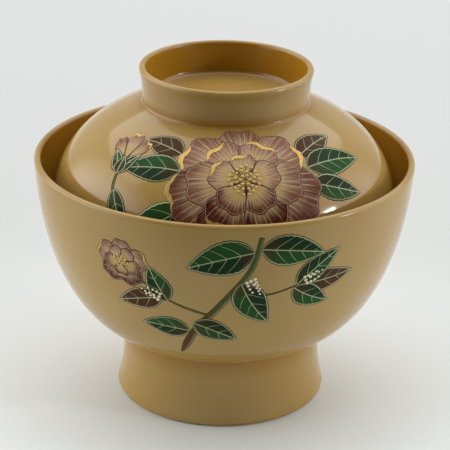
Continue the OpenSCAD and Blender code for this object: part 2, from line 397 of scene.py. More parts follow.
NOISE, ATTRIBUTE = "ShaderNodeTexNoise", "ShaderNodeAttribute"
MIX, MATH, MAP_RANGE = "ShaderNodeMix", "ShaderNodeMath", "ShaderNodeMapRange"
# The usual settings of a kind of node
USUAL = {MIX: {"data_type": "RGBA"}, MAP_RANGE: {"interpolation_type": "SMOOTHSTEP"}}
SHARE, UNDER, OVER = 0, 6, 7  # the sockets of a Mix node of colours

LACQUER, WOOD = "ochre lacquer", "turned zelkova"
PETAL, LEAF, STEM, GOLD = "rose petal paint", "leaf paint", "stem paint", "gold powder"
GOLD_DROPS, IVORY_DROPS = "gold powder drops", "ivory paint drops"
TABLE_TOP = "pale table top"
WIDE_LINE, FINE_LINE = 0.38 * MM, 0.14 * MM  # the dark line round a painted shape


def set_inputs(node, inputs):
    """Sets a node's inputs to values, or links them to the outputs or nodes that feed them."""
    for socket, value in inputs.items():
        if isinstance(value, bpy.types.Node):
            value = next(output for output in value.outputs if output.enabled)
        if isinstance(value, bpy.types.NodeSocket):
            node.id_data.links.new(value, node.inputs[socket])
        else:
            node.inputs[socket].default_value = value


def add_node(tree, kind, inputs=None, **settings):
    """A node with the usual settings of its kind and its own, and with its inputs set or linked."""
    node = tree.nodes.new(kind)
    for name, value in {**USUAL.get(kind, {}), **settings}.items():
        setattr(node, name, value)
    set_inputs(node, inputs or {})
    return node


def new_material(name):
    """For a new material: what adds its nodes, its Principled shader and its Object coordinates."""
    material = bpy.data.materials.new(name)
    material.use_nodes = True
    add = partial(add_node, material.node_tree)
    shader = material.node_tree.nodes["Principled BSDF"]
    return add, shader, add("ShaderNodeTexCoord").outputs["Object"]


def make_lacquer(finish):
    """Polished ochre lacquer, sprayed on turned wood and buffed: an opaque, very slightly wavy gloss
    that shows soft-edged reflections. Inside the hollows, and a little at the roots of the foot and the
    ring, it is painted a darker amber as painted shade."""
    add, shader, place = new_material(LACQUER)
    # Mottling 20 mm across, and the coat's waviness 4 mm across
    mottle = add(NOISE, {"Vector": place, "Scale": 50, "Detail": 2})
    wave = add(NOISE, {"Vector": place, "Scale": 250, "Detail": 1})
    hollow_shade = add(ATTRIBUTE, attribute_name="hollow_shade").outputs["Fac"]
    share = add(MAP_RANGE, {"Value": mottle, "From Min": 0.3, "From Max": 0.7})
    ochre = add(MIX, {SHARE: share, UNDER: finish.ochre, OVER: finish.deep})
    # Painted shade: amber in the hollows and at the roots
    coat = add(MIX, {SHARE: hollow_shade, UNDER: ochre, OVER: finish.amber_shade})
    gloss = add(MAP_RANGE, {"Value": mottle, "From Min": 0.3, "From Max": 0.7,
                            "To Min": 0.09, "To Max": 0.13})
    bump = add("ShaderNodeBump", {"Height": wave, "Strength": 0.05, "Distance": 0.02 * MM})
    set_inputs(shader, {"Base Color": coat, "Roughness": gloss, "Normal": bump,
                        "IOR": 1.5, "Specular IOR Level": 0.42})


def make_wood(finish):
    """Turned zelkova under the lacquer: open, ring-porous grain with growth rings 2 mm apart."""
    add, shader, place = new_material(WOOD)
    # The rings' own centre lies beside the blank
    turned = add("ShaderNodeMapping", {"Vector": place, "Location": (0.09, 0.02, 0)})
    rings = add(
        "ShaderNodeTexWave",
        {"Vector": turned, "Scale": 160, "Distortion": 3, "Detail": 2, "Detail Scale": 0.4},
        wave_type="RINGS", rings_direction="Z", wave_profile="SAW",
    ).outputs["Fac"]
    # Pores 0.4 mm across and 3 mm long
    stretched = add("ShaderNodeMapping", {"Vector": place, "Scale": (2500, 2500, 300)})
    pores = add(NOISE, {"Vector": stretched, "Scale": 1, "Detail": 3})
    share = add(MATH, {0: pores, 1: 0.35, 2: rings}, operation="MULTIPLY_ADD")
    grain = add(MIX, {SHARE: share, UNDER: finish.wood, OVER: finish.wood_ring})
    bump = add("ShaderNodeBump", {"Height": pores, "Strength": 0.3, "Distance": 0.05 * MM})
    set_inputs(shader, {"Base Color": grain, "Normal": bump, "Roughness": 0.55})


def outline_paint(add, shader, paint, inner, margin, margin_colour, line):
    """Finishes a painted shape: its coloured margin, then a thin dark line round it."""
    edge = add(ATTRIBUTE, attribute_name="edge").outputs["Fac"]
    in_margin = add(MAP_RANGE, {"Value": edge, "From Min": line + margin * 1.3,
                                "From Max": line + margin * 0.7})
    lined = add(MIX, {SHARE: in_margin, UNDER: inner, OVER: margin_colour})
    on_edge = add(MAP_RANGE, {"Value": edge, "From Min": line, "From Max": line * 0.5})
    whole = add(MIX, {SHARE: on_edge, UNDER: lined, OVER: paint.outline})
    # Brushed paint with powder in it, buffed with the lacquer round it: a softer sheen
    set_inputs(shader, {"Base Color": whole, "Roughness": 0.3, "Specular IOR Level": 0.1})


def make_petal_paint(paint):
    """Brushed rose paint: pale at a petal's base and rose at its tip with streaks along it, gold powder
    near the heart, wine shading towards the tips of the lower petals, and fine pale lines."""
    add, shader, place = new_material(PETAL)
    along, across, tone, gilt = [add(ATTRIBUTE, attribute_name=layer).outputs["Fac"]
                                 for layer in ("along", "across", "tone", "gilt")]
    # Clouds 4 mm across, and powder 0.25 mm across, as coarse as it needs to be to show
    cloud = add(NOISE, {"Vector": place, "Scale": 260, "Detail": 3})
    powder = add(NOISE, {"Vector": place, "Scale": 4000, "Detail": 1})
    # Streaks that run from base to tip, about 18 over a petal's width
    spread = add(MATH, {0: across, 1: 11}, operation="MULTIPLY")
    petal_place = add("ShaderNodeCombineXYZ", {"X": spread, "Y": along, "Z": tone})
    streak = add(NOISE, {"Vector": petal_place, "Scale": 1.6, "Detail": 3})
    brushed = add(MAP_RANGE, {"Value": streak, "From Min": 0.38, "From Max": 0.66})
    blush = add(MIX, {SHARE: brushed, UNDER: paint.petal_blush, OVER: paint.petal_pale})
    deep = add(MIX, {SHARE: brushed, UNDER: paint.petal_rose, OVER: paint.petal_mauve})
    drift = add(MATH, {0: cloud, 1: 0.4, 2: -0.2}, operation="MULTIPLY_ADD")
    reach = add(MATH, {0: along, 1: drift}, operation="ADD")
    flush = add(MAP_RANGE, {"Value": reach, "From Min": 0.5, "From Max": 0.95})
    body = add(MIX, {SHARE: flush, UNDER: blush, OVER: deep})
    # The lower petals are deeper all over, and run out in wine
    to_tip = add(MAP_RANGE, {"Value": reach, "From Min": 0.3, "From Max": 0.95})
    wine_share = add(MATH, {0: to_tip, 1: tone}, operation="MULTIPLY")
    wined = add(MIX, {SHARE: wine_share, UNDER: body, OVER: paint.petal_wine})
    to_base = add(MAP_RANGE, {"Value": reach, "From Min": 0.8, "From Max": 0.3})
    gold_share = add(MATH, {0: to_base, 1: gilt}, operation="MULTIPLY")
    gilded = add(MIX, {SHARE: gold_share, UNDER: wined, OVER: paint.petal_gold})
    # Fine pale lines, each as long as the streak that it follows
    wander = add(MATH, {0: cloud, 1: 0.06, 2: across}, operation="MULTIPLY_ADD")
    strand = add(MATH, {0: wander, 1: 0.085}, operation="PINGPONG")
    thin = add(MAP_RANGE, {"Value": strand, "From Min": 0.017, "From Max": 0.005})
    gone = add(MATH, {0: along, 1: streak}, operation="SUBTRACT")
    faded = add(MAP_RANGE, {"Value": gone, "From Min": 0.5, "From Max": 0.15, "To Max": 0.8})
    on_line = add(MATH, {0: thin, 1: faded}, operation="MULTIPLY")
    lined = add(MIX, {SHARE: on_line, UNDER: gilded, OVER: paint.petal_pale})
    flecks = add(MAP_RANGE, {"Value": powder, "From Min": 0.6, "From Max": 0.75, "To Max": 0.4})
    powdered = add(MIX, {SHARE: flecks, UNDER: lined, OVER: paint.gold})
    outline_paint(add, shader, paint, powdered, 0.1 * MM, paint.petal_mauve, WIDE_LINE)


def make_leaf_paint(paint):
    """Deep green paint, darker on one half and browned in clouds at the base, with a pale midrib, bent
    veins and a pale margin."""
    add, shader, place = new_material(LEAF)
    along, across, tone, edge = [add(ATTRIBUTE, attribute_name=layer).outputs["Fac"]
                                 for layer in ("along", "across", "tone", "edge")]
    # Clouds 3.3 mm across
    cloud = add(NOISE, {"Vector": place, "Scale": 300, "Detail": 3})
    shift = add(MATH, {0: cloud, 1: 3 * MM, 2: across}, operation="MULTIPLY_ADD")
    half = add(MAP_RANGE, {"Value": shift, "From Min": 0.6 * MM, "From Max": 2.8 * MM})
    green = add(MIX, {SHARE: half, UNDER: paint.leaf_green, OVER: paint.leaf_dark})
    clouded = add(MATH, {0: cloud, 1: 10 * MM, 2: along}, operation="MULTIPLY_ADD")
    base = add(MAP_RANGE, {"Value": clouded, "From Min": 13 * MM, "From Max": 5 * MM, "To Max": 0.55})
    shaded = add(MIX, {SHARE: base, UNDER: green, OVER: paint.leaf_brown})
    body = add(MIX, {SHARE: tone, UNDER: shaded, OVER: paint.leaf_brown})
    out = add(MATH, {0: across}, operation="ABSOLUTE")
    rib = add(MAP_RANGE, {"Value": out, "From Min": 0.22 * MM, "From Max": 0.08 * MM})
    # Side veins leave the midrib every 4.4 mm, bend forwards and fade before the margin
    slope = add(MATH, {0: out, 1: -0.09 / MM, 2: -0.7}, operation="MULTIPLY_ADD")
    swept = add(MATH, {0: out, 1: slope, 2: along}, operation="MULTIPLY_ADD")
    vein = add(MATH, {0: swept, 1: 2.2 * MM}, operation="PINGPONG")
    line = add(MAP_RANGE, {"Value": vein, "From Min": 0.17 * MM, "From Max": 0.05 * MM})
    faded = add(MAP_RANGE, {"Value": edge, "From Min": 0.3 * MM, "From Max": 2.4 * MM,
                            "To Min": 0.2, "To Max": 0.85})
    side = add(MATH, {0: line, 1: faded}, operation="MULTIPLY")
    on_vein = add(MATH, {0: rib, 1: side}, operation="MAXIMUM")
    veined = add(MIX, {SHARE: on_vein, UNDER: body, OVER: paint.vein})
    outline_paint(add, shader, paint, veined, 0.2 * MM, paint.vein, WIDE_LINE)


def make_stem_paint(paint):
    """Brushed stem paint: green near the flower, brown at the foot, with a lighter back."""
    add, shader, place = new_material(STEM)
    along, across = [add(ATTRIBUTE, attribute_name=layer).outputs["Fac"] for layer in ("along", "across")]
    # Brush streaks 0.6 mm wide and 3.3 mm long
    streaks = add("ShaderNodeMapping", {"Vector": place, "Scale": (1800, 1800, 300)})
    cloud = add(NOISE, {"Vector": streaks, "Scale": 1, "Detail": 2})
    age = add(MATH, {0: cloud, 1: 0.3, 2: along}, operation="MULTIPLY_ADD")
    old = add(MAP_RANGE, {"Value": age, "From Min": 0.5, "From Max": 0.95})
    aged = add(MIX, {SHARE: old, UNDER: paint.stem_green, OVER: paint.stem_brown})
    back = add(MAP_RANGE, {"Value": across, "From Min": 0.1, "From Max": 0.9, "To Max": 0.4})
    lit = add(MIX, {SHARE: back, UNDER: aged, OVER: paint.vein})
    outline_paint(add, shader, paint, lit, 0.05 * MM, paint.stem_green, FINE_LINE)


def make_gold_powder(paint):
    """Gold powder sprinkled on wet lacquer and buffed: a warm satin metal with its grain just showing."""
    add, shader, place = new_material(GOLD)
    # Grain 0.3 mm across, as coarse as it needs to be to show
    grain = add(NOISE, {"Vector": place, "Scale": 3000, "Detail": 1})
    dense = add(MAP_RANGE, {"Value": grain, "From Min": 0.35, "From Max": 0.65})
    gilded = add(MIX, {SHARE: dense, UNDER: paint.petal_gold, OVER: paint.gold})
    outline_paint(add, shader, paint, gilded, 0.05 * MM, paint.petal_gold, FINE_LINE)
    set_inputs(shader, {"Metallic": 0.35})


def make_drop_paint(name, tint, shade, roughness):
    """Thick drops of paint mixed with powder, which dry as small round beads."""
    add, shader, place = new_material(name)
    # Grain 0.3 mm across, as coarse as it needs to be to show
    grain = add(NOISE, {"Vector": place, "Scale": 3000, "Detail": 1})
    thin = add(MAP_RANGE, {"Value": grain, "From Min": 0.45, "From Max": 0.8})
    mottled = add(MIX, {SHARE: thin, UNDER: tint, OVER: shade})
    set_inputs(shader, {"Base Color": mottled, "Roughness": roughness})


# Painted shapes

LAYERS = ("along", "across", "edge", "tone", "gilt")  # the values that a shape carries for its material
# Shares of a petal's reach: from the flower's centre to its base, and how deep its tip is cut
PETAL_START, PETAL_SHOULDER, PETAL_WAVE, PETAL_TOOTH = 0.12, 0.3, 0.05, 0.012
PETAL_WAVES, PETAL_TEETH = 3, 11
LEAF_TOOTH, LEAF_TEETH = 0.07, 11
LID_CENTRE, LID_CANVAS_RADIUS = (0, 0, 52 * MM), 58 * MM
BOWL_CENTRE, BOWL_CANVAS_RADIUS = (0, 0, 72 * MM), 62 * MM


class Canvas:
    """A place on a lacquered surface that shapes are painted on. Its x runs to the right and its
    y up, in metres along the surface, from a middle given by an azimuth and an elevation."""

    def __init__(self, tree, centre, radius, azimuth, elevation):
        self.tree, self.centre, self.radius = tree, Vector(centre), radius
        azimuth, elevation = radians(azimuth), radians(elevation)
        flat = Vector((cos(azimuth), sin(azimuth), 0))
        self.out = flat * cos(elevation) + Vector((0, 0, sin(elevation)))
        self.right = Vector((-sin(azimuth), cos(azimuth), 0))
        self.up = self.out.cross(self.right)

    def place(self, x, y, lift):
        """The point over the surface at x and y."""
        turn = sqrt(x * x + y * y) / self.radius
        way = self.out * cos(turn)
        if turn:
            way += (self.right * x + self.up * y) * (sin(turn) / (turn * self.radius))
        hit, normal, _, _ = self.tree.ray_cast(self.centre + way * 3 * self.radius, -way)
        if hit is None:
            raise RuntimeError("a painted shape lies off its surface")
        return hit + normal * lift


def paint_grid(bm, canvas, segments, lift, shades, shape):
    """Paints one shape, lifted by some mm. shape takes (share across from -1 to 1, share along from 0
    to 1) to ((x, y), along, across, distance from the shape's edge). shades are its tone and its gilt."""
    layers = [bm.verts.layers.float[layer] for layer in LAYERS]
    grid = bmesh.ops.create_grid(bm, x_segments=segments[0], y_segments=segments[1], size=1)
    for vert in grid["verts"]:
        # x runs the other way across a shape, so that its faces point outwards
        (x, y), *values = shape(-vert.co.x, (vert.co.y + 1) / 2)
        for layer, value in zip(layers, (*values, *shades)):
            vert[layer] = value
        vert.co = canvas.place(x, y, lift * MM)


def petal_tip(across, reach):
    """How far a petal reaches at a share across it: rounded shoulders, three waves and small teeth."""
    waves = PETAL_WAVE * (0.5 + 0.5 * cos(across * PETAL_WAVES * pi))
    teeth = PETAL_TOOTH * (0.5 + 0.5 * cos(across * PETAL_TEETH * pi))
    return reach * (1 - PETAL_SHOULDER * abs(across) ** 3.5 - waves - teeth)


def petal_shape(base, heading, reach, spread, inner):
    """A fan-shaped petal."""

    def shape(across, along):
        tip = petal_tip(across, reach)
        out = inner + along * (tip - inner)
        width = spread * (0.72 + 0.28 * sin(pi * min(1, along * 1.15) / 2))
        angle = radians(heading + across * width)
        edge = min((1 - abs(across)) * radians(width) * out, (1 - along) * (tip - inner))
        return (base[0] + out * cos(angle), base[1] + out * sin(angle)), along, across, edge

    return shape


def turned_edge_shape(base, heading, reach, spread, middle, half, depth):
    """The edge of a petal that has turned over: a crescent along part of its tip."""

    def shape(across, along):
        spot = middle + across * half
        thickness = depth * (1 - across * across) ** 0.8
        out = petal_tip(spot, reach) - (1 - along) * thickness
        angle = radians(heading + spot * spread)
        edge = thickness * (0.5 - abs(along - 0.5))
        return (base[0] + out * cos(angle), base[1] + out * sin(angle)), along, across, edge

    return shape


def leaf_shape(base, heading, reach, half_width, bend):
    """A pointed leaf on a bent midrib, with small teeth along its margin."""

    def shape(across, along):
        teeth = 1 - LEAF_TOOTH * ((along * LEAF_TEETH) % 1) * sin(pi * along)
        width = half_width * sin(pi * along**0.72) ** 0.85 * teeth
        angle = radians(heading + bend * (along - 0.5))
        half_turn = radians(heading + bend * (along - 1) / 2)
        x = base[0] + reach * along * cos(half_turn)
        y = base[1] + reach * along * sin(half_turn)
        side, edge = across * width, (1 - abs(across)) * width
        return (x - side * sin(angle), y + side * cos(angle)), along * reach, side, edge

    return shape


def stem_shape(points, first_width, last_width):
    """A stem along a smooth curve through some points."""
    points = [Vector(p) for p in points]
    points = [2 * points[0] - points[1], *points, 2 * points[-1] - points[-2]]
    spans = len(points) - 3

    def centre(along):
        span = min(int(along * spans), spans - 1)
        t = along * spans - span
        a, b, c, d = points[span : span + 4]
        square, cube = 2 * a - 5 * b + 4 * c - d, 3 * b - a - 3 * c + d
        return 0.5 * (2 * b + (c - a) * t + square * t**2 + cube * t**3)

    def shape(across, along):
        here = centre(along)
        way = (centre(min(1, along + 0.01)) - centre(max(0, along - 0.01))).normalized()
        rounding = min(1, (1 - along) * 9 + 0.05) ** 0.6
        width = (first_width + (last_width - first_width) * along) / 2 * rounding
        spot = here + across * width * Vector((-way.y, way.x))
        to_end = min(along, 1 - along) * 20 * MM + 0.1 * MM
        return tuple(spot), along, across, min((1 - abs(across)) * width, to_end)

    return shape


def paint_drop(bm, canvas, x, y, radius, lift):
    """A round drop of thick paint, half as high as it is wide."""
    spot = canvas.place(x, y, lift)
    normal = (canvas.place(x, y, lift + MM) - spot).normalized()
    turn = normal.to_track_quat("Z", "Y").to_matrix().to_4x4()
    squash = Matrix.Diagonal((radius, radius, radius * 0.5, 1))
    place = Matrix.Translation(spot) @ turn @ squash
    bmesh.ops.create_icosphere(bm, subdivisions=2, radius=1, matrix=place)


# Rows of painted shapes

PAINT_DEPTH = 0.2 * MM
FIRST_LIFT = 0.06  # mm from the lacquer to the outermost petal
LAYER_STEP = 0.008  # mm from one petal to the next
UNSHADED, GILDED = (0, 0), (0, 1)  # tone and gilt
PETAL_MESH, EDGE_MESH, LEAF_MESH, THREAD_MESH = (44, 22), (24, 6), (10, 66), (2, 8)
STEM_COLUMNS, STEM_ROWS = 6, 12  # the rows for each of a stem's points
STAMEN_RINGS = (1, 0.66, 0.34)  # shares of a tuft's reach
LEAST_STAMENS = 5  # in a ring
STAMEN_DROP, THREAD_WIDTHS = 0.5 * MM, (0.5 * MM, 0.3 * MM)


def painting_surface(name):
    """A tree of the faces of a finished coat, to lay paint on."""
    bm = bmesh.new()
    bm.from_mesh(bpy.data.objects[name].data)
    tree = BVHTree.FromBMesh(bm)
    bm.free()
    return tree


def painted(name, material, body, canvas, paint_rows, rows):
    """A painted piece on its body: rows of shapes, with a thickness that reaches down into the lacquer."""
    bm = bmesh.new()
    for layer in LAYERS:
        bm.verts.layers.float.new(layer)
    paint_rows(bm, canvas, rows)
    piece = finished(name, bm, material, body)
    depth = piece.modifiers.new("Paint thickness", "SOLIDIFY")
    depth.thickness = PAINT_DEPTH
    depth.offset = -1


def paint_petals(bm, canvas, rows):
    """Paints petals, each (centre x, centre y, heading, reach, half spread, (tone, gilt), lift), in mm
    and degrees."""
    for x, y, heading, reach, spread, shades, lift in rows:
        shape = petal_shape((x * MM, y * MM), heading, reach * MM, spread, reach * PETAL_START * MM)
        paint_grid(bm, canvas, PETAL_MESH, lift, shades, shape)


def turn_edges(bm, canvas, rows):
    """Turns over a part of the edge of some petals, each (the petal's row, the middle and the half length
    of the part, its depth in mm)."""
    for (x, y, heading, reach, spread, _, lift), middle, half, depth in rows:
        shape = turned_edge_shape((x * MM, y * MM), heading, reach * MM, spread, middle, half, depth * MM)
        paint_grid(bm, canvas, EDGE_MESH, lift + 0.5 * LAYER_STEP, GILDED, shape)


def paint_leaves(bm, canvas, rows):
    """Paints leaves, each (base x, base y, heading, length, half width, bend, tone, lift), in mm and
    degrees."""
    for x, y, heading, reach, half_width, bend, tone, lift in rows:
        shape = leaf_shape((x * MM, y * MM), heading, reach * MM, half_width * MM, bend)
        paint_grid(bm, canvas, LEAF_MESH, lift, (tone, 0), shape)


def paint_stems(bm, canvas, rows):
    """Paints stems, each (points, first width, last width, lift), in mm."""
    for points, first, last, lift in rows:
        shape = stem_shape([(x * MM, y * MM) for x, y in points], first * MM, last * MM)
        paint_grid(bm, canvas, (STEM_COLUMNS, STEM_ROWS * len(points)), lift, UNSHADED, shape)


def paint_threads(bm, canvas, rows):
    """Paints the fine gold threads of stamens, each (its two ends, lift), in mm."""
    for ends, lift in rows:
        shape = stem_shape([(x * MM, y * MM) for x, y in ends], *THREAD_WIDTHS)
        paint_grid(bm, canvas, THREAD_MESH, lift, GILDED, shape)


def petal_rows(x, y, rings):
    """The petals round a flower's centre, with the lower ones in deeper shade. Its rings, the outermost
    first, are each (count, reach, half spread, tone, gilt)."""
    rows, lift = [], FIRST_LIFT
    for ring, (count, reach, spread, tone, gilt) in enumerate(rings):
        for i in range(count):
            heading = 90 + 360 * (i + 0.5 * (ring % 2)) / count
            upwards = sin(radians(heading))
            # The petals at the top are shorter, and those at the sides longer
            stretch = 1 - 0.14 * max(0, upwards) + 0.06 * abs(cos(radians(heading)))
            shade = tone + max(0, 0.2 - upwards) ** 0.8
            shades = (min(1, max(0, shade)), gilt)
            rows.append((x, y, heading, reach * stretch, spread, shades, lift))
            lift += LAYER_STEP
    return rows, lift


def stamen_tips(x, y, count, reach):
    """The tips of the stamens round a point, in rings, the outermost first."""
    rings = []
    for ring, share in enumerate(STAMEN_RINGS):
        number = max(LEAST_STAMENS, round(count * share))
        rings.append([])
        for i in range(number):
            angle = 2 * pi * (i + 0.5 * ring) / number
            far = reach * share * (1 + 0.1 * sin(5 * i))
            rings[-1].append((x + far * cos(angle), y + far * sin(angle)))
    return rings


def paint_flower(name, body, canvas, centre, rings, turns, heart, tuft):
    """Paints a flower on its centre: rings of petals, the parts of their edges that turn over (by the
    petal's number), and round its heart a tuft of stamens (count, reach), of which the outer ring has
    threads."""
    rows, lift = petal_rows(*centre, rings)
    painted(f"{name}_petals", PETAL, body, canvas, paint_petals, rows)
    edges = [(rows[number], *turn) for number, turn in turns.items()]
    painted(f"{name}_turned_edges", GOLD, body, canvas, turn_edges, edges)
    tips = stamen_tips(*heart, *tuft)
    bm = bmesh.new()
    for x, y in (tip for ring in tips for tip in ring):
        paint_drop(bm, canvas, x * MM, y * MM, STAMEN_DROP, lift * MM)
    finished(f"{name}_stamens", bm, GOLD_DROPS, body)
    threads = [((heart, tip), lift) for tip in tips[0]]
    painted(f"{name}_threads", GOLD, body, canvas, paint_threads, threads)


# Operators


def lay_coats(body, finish, coats):
    """Lays coats of lacquer, each (name, path, mouth, root, slot, CAD node). The slot is not used."""
    for name, path, mouth, root, slot, node in coats:
        coat = turned_coat(path, finish.thickness, finish.turns, mouth, root)
        finished(name, coat, LACQUER, body, node)


class TurnBowl(bpy.types.Operator):
    """Turn the bowl's coats of lacquer and give both cores their wood"""

    bl_idname = "soup_bowl.turn_bowl"
    bl_label = "Turn the bowl"

    def execute(self, context):
        sizes, finish = context.scene.bowl_sizes, context.scene.lacquer_finish
        _, (outside, inside, hollow) = bowl_paths(sizes)
        # Painted shade of the lacquer: inside the mouth of the bowl and of the foot's hollow, and round
        # the foot's root
        mouth = sizes.rim_diameter / 2 - sizes.lip_thickness / 2
        root = sizes.foot_diameter / 2 - sizes.foot_flare, sizes.foot_height - ROOT_SHADE_SHIFT, FOOT_ROOT_SHADE
        make_lacquer(finish)
        lay_coats("bowl", finish, (
            ("bowl_outer_coat", outside, 0, root, OUTER_SLOT, "bowl_outer_lacquer"),
            ("bowl_inner_coat", inside, mouth, None, INNER_SLOT, "bowl_inner_lacquer"),
            ("foot_hollow_coat", hollow, sizes.foot_diameter / 2, None, OUTER_SLOT, "hollow_lacquer"),
        ))
        make_wood(finish)
        for node in ("bowl_core", "lid_core"):
            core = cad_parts[node]
            core.data.materials.clear()
            core.data.materials.append(bpy.data.materials[WOOD])
        return {"FINISHED"}


class TurnLid(bpy.types.Operator):
    """Turn the lid's coats of lacquer"""

    bl_idname = "soup_bowl.turn_lid"
    bl_label = "Turn the lid"

    def execute(self, context):
        bowl, lid = context.scene.bowl_sizes, context.scene.lid_sizes
        wall, _ = bowl_paths(bowl)
        outside, inside = lid_paths(bowl, lid, wall)
        # Painted shade of the lacquer: inside the recess and the lid, and round the ring's root
        recess_mouth = lid.ring_diameter / 2 - lid.ring_lip / 2
        crown = bowl.height - lid.seat_depth + lid.height - lid.ring_height
        root = lid.ring_diameter / 2 - lid.ring_flare, crown + ROOT_SHADE_SHIFT, RING_ROOT_SHADE
        lay_coats("lid", context.scene.lacquer_finish, (
            ("lid_outer_coat", outside, recess_mouth, root, OUTER_SLOT, "lid_outer_lacquer"),
            ("lid_inner_coat", inside, bowl.rim_diameter / 2, None, INNER_SLOT, "lid_inner_lacquer"),
        ))
        return {"FINISHED"}


# The azimuth and the elevation of each canvas's middle
CAMELLIA_PLACE, BUD_PLACE, BOWL_PLACE = (FRONT + 8, 41), (FRONT - 44, 40), (FRONT, -15)
# The spray, in mm and degrees from the middle of a canvas
LID_LEAVES = (
    (18, 9, 40, 17, 4.6, -14, 0.9, 0.03),
    (20, 5, 20, 22, 5.4, -14, 0.0, 0.04),
    (21, 0, -2, 18, 4.6, 10, 0.1, 0.05),
    (-18, 11, 142, 15, 4.6, 16, 0.9, 0.03),
    (-19, 5, 164, 19, 5.2, 14, 0.0, 0.04),
    (-18, -7, 196, 24, 5.8, -12, 0.05, 0.05),
    (-15, -12, 214, 18, 5.0, 12, 0.9, 0.03),
)
CAMELLIA, CAMELLIA_HEART, CAMELLIA_TUFT = (0, 0), (0, 0.3), (18, 4.4)
CAMELLIA_RINGS = ((7, 23, 33, 0.2, 0.25), (6, 17, 36, 0.05, 0.6), (5, 11, 40, -0.3, 1))
CAMELLIA_TURNS = {
    1: (0.3, 0.45, 2.0), 2: (-0.3, 0.5, 1.8), 6: (-0.35, 0.4, 2.0), 7: (0.2, 0.55, 1.9),
    9: (-0.1, 0.5, 2.0), 12: (0.1, 0.6, 1.8), 13: (0.2, 0.55, 1.6), 14: (-0.3, 0.5, 1.6),
}
BUD_PETALS = (
    (0, 0, 128, 12, 17, (0.5, 0.7), 0.05),
    (0, 0, 72, 12, 17, (0.3, 0.7), 0.06),
    (0, 0, 100, 13.5, 17, (0.1, 0.7), 0.07),
)
BUD_TURNS = ((BUD_PETALS[1], -0.2, 0.6, 1.2), (BUD_PETALS[2], 0.1, 0.7, 1.4))
BUD_SEPALS = (
    (-0.5, -2, 128, 9, 2.2, 20, 0.0, 0.09),
    (0.5, -2, 66, 9, 2.2, -20, 0.0, 0.1),
    (0, -2.5, 98, 6.5, 2.4, 0, 0.1, 0.11),
    (2, -7, -48, 15, 3.2, 24, 0.0, 0.06),
)
BUD_STEM = (((0, -1), (1.5, -7), (7, -13), (14, -15.5)), 1.0, 1.3, 0.05)
BOWL_STEMS = (
    (((12, 24), (9, 13), (0, 0), (-8, -12), (-13, -27)), 1.6, 3.0, 0.04),
    (((4.5, 6), (14, 3), (25, 5)), 1.0, 0.6, 0.03),
    (((-4, -5), (-16, -1), (-28, 6)), 1.1, 0.6, 0.03),
)
BOWL_LEAVES = (
    (12, 20, -13, 22, 5.6, -12, 0.0, 0.07),
    (10, 19, 196, 22, 6.2, 14, 0.0, 0.08),
    (6, 8, -62, 19, 5.6, 18, 0.05, 0.06),
    (24, 5, 34, 18, 4.6, -12, 0.0, 0.07),
    (25, 5, -4, 20, 4.8, 10, 0.95, 0.05),
    (23, 4, -38, 16, 4.6, 14, 0.0, 0.09),
    (-17, -1, 118, 14, 4.4, -16, 0.0, 0.07),
    (-19, 0, 205, 17, 4.6, 14, 0.95, 0.05),
    (-10, -13, 182, 16, 4.8, 16, 0.0, 0.07),
    (-9, -9, -28, 16, 4.8, -16, 0.1, 0.07),
)
BLOSSOM, BLOSSOM_TUFT = (-33, 10), (9, 2.4)
BLOSSOM_RINGS = ((5, 9.5, 38, 0.25, 0.2), (5, 6.4, 40, 0.05, 1))
BLOSSOM_TURNS = {1: (0, 0.6, 1.0), 4: (0.1, 0.6, 1.0), 7: (0, 0.6, 0.9)}
# Tufts of ivory drops: the x and the y that each grows from, and its heading
IVORY_TUFTS = ((27, 6, 20), (-20, 0, 165), (9, 9, -62))
IVORY_ROW, IVORY_STEP, IVORY_ROW_STEP, IVORY_DRIFT = 5, 1.5, 1.35, 0.35
IVORY_RADIUS, IVORY_SHRINK, IVORY_LIFT = 0.55, 0.05, 0.1


class PaintLid(bpy.types.Operator):
    """Paint the camellia, its bud and its leaves on the lid"""

    bl_idname = "soup_bowl.paint_lid"
    bl_label = "Paint the lid"

    def execute(self, context):
        paint = context.scene.paint_finish
        make_petal_paint(paint)
        make_leaf_paint(paint)
        make_stem_paint(paint)
        make_gold_powder(paint)
        make_drop_paint(GOLD_DROPS, paint.gold, paint.petal_gold, 0.3)
        surface = painting_surface("lid_outer_coat")
        front = Canvas(surface, LID_CENTRE, LID_CANVAS_RADIUS, *CAMELLIA_PLACE)
        side = Canvas(surface, LID_CENTRE, LID_CANVAS_RADIUS, *BUD_PLACE)
        painted("lid_leaves", LEAF, "lid", front, paint_leaves, LID_LEAVES)
        paint_flower("camellia", "lid", front, CAMELLIA, CAMELLIA_RINGS, CAMELLIA_TURNS,
                     CAMELLIA_HEART, CAMELLIA_TUFT)
        painted("bud_petals", PETAL, "lid", side, paint_petals, BUD_PETALS)
        painted("bud_turned_edges", GOLD, "lid", side, turn_edges, BUD_TURNS)
        painted("bud_sepals", LEAF, "lid", side, paint_leaves, BUD_SEPALS)
        painted("bud_stem", STEM, "lid", side, paint_stems, [BUD_STEM])
        return {"FINISHED"}


